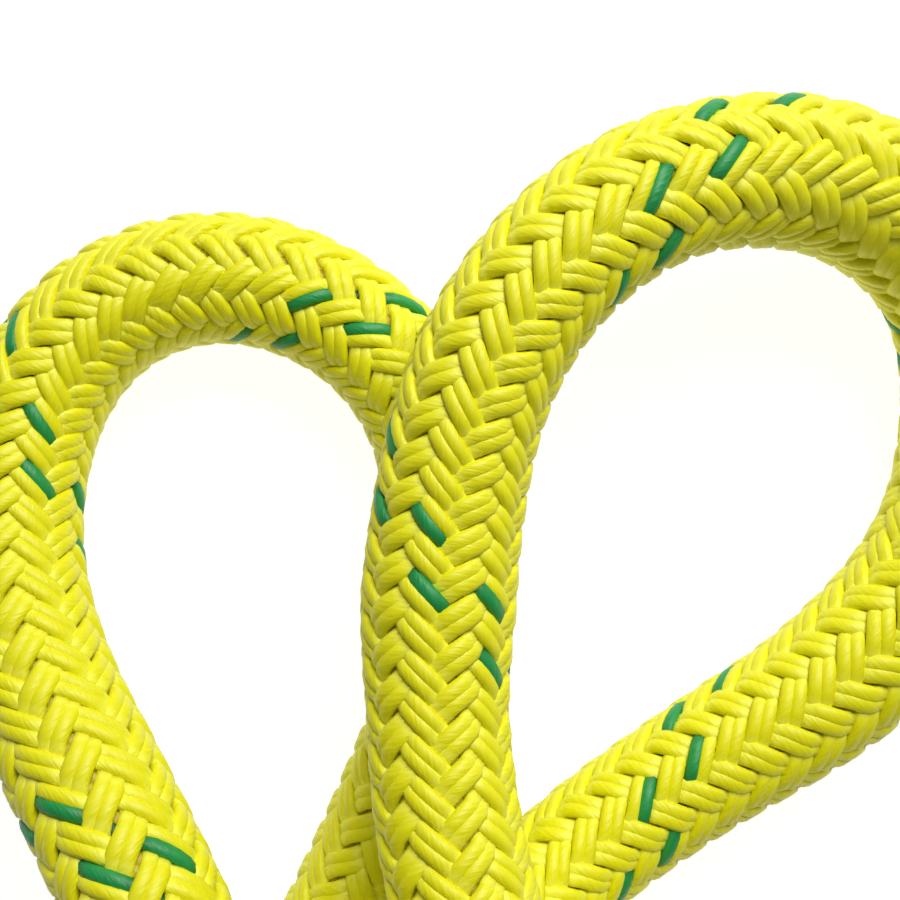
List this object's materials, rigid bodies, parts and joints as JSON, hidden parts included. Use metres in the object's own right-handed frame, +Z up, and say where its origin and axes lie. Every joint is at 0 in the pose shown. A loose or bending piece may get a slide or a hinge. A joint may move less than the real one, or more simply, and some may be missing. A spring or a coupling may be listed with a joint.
{
  "type": "dynamic climbing rope",
  "caption": "Soft braided climbing rope with contrast tracer yarns, put away as a strapped hank with two loops drawn out of its front; sleeved and sealed ends",
  "frame": {"origin": "on the surface it lies on, under the middle of the whole bundle", "axes": "+Z up, +Y from the hank towards the two loops, +X to the right seen from above with +Y away"},
  "size_m": [0.0986, 0.4227, 0.068],
  "materials": {
    "sheath": "braided polyamide yarn, yellow with green tracers",
    "core": "plied polyamide cords, undyed",
    "strap": "woven polyamide tape",
    "sleeve": "heat-shrunk polyolefin tube",
    "seal": "rope end melted to a cap"
  },
  "bodies": {
    "root": {"left_loop_sheath": "sheath", "left_loop_core": "core", "right_loop_sheath": "sheath", "right_loop_core": "core", "hank": "sheath", "front_strap": "strap", "rear_strap": "strap", "end_a_sheath": "sheath", "end_a_core": "core", "end_a_sleeve": "sleeve", "end_a_seal": "seal", "end_b_sheath": "sheath", "end_b_core": "core", "end_b_sleeve": "sleeve", "end_b_seal": "seal"}
  },
  "joints": []
}
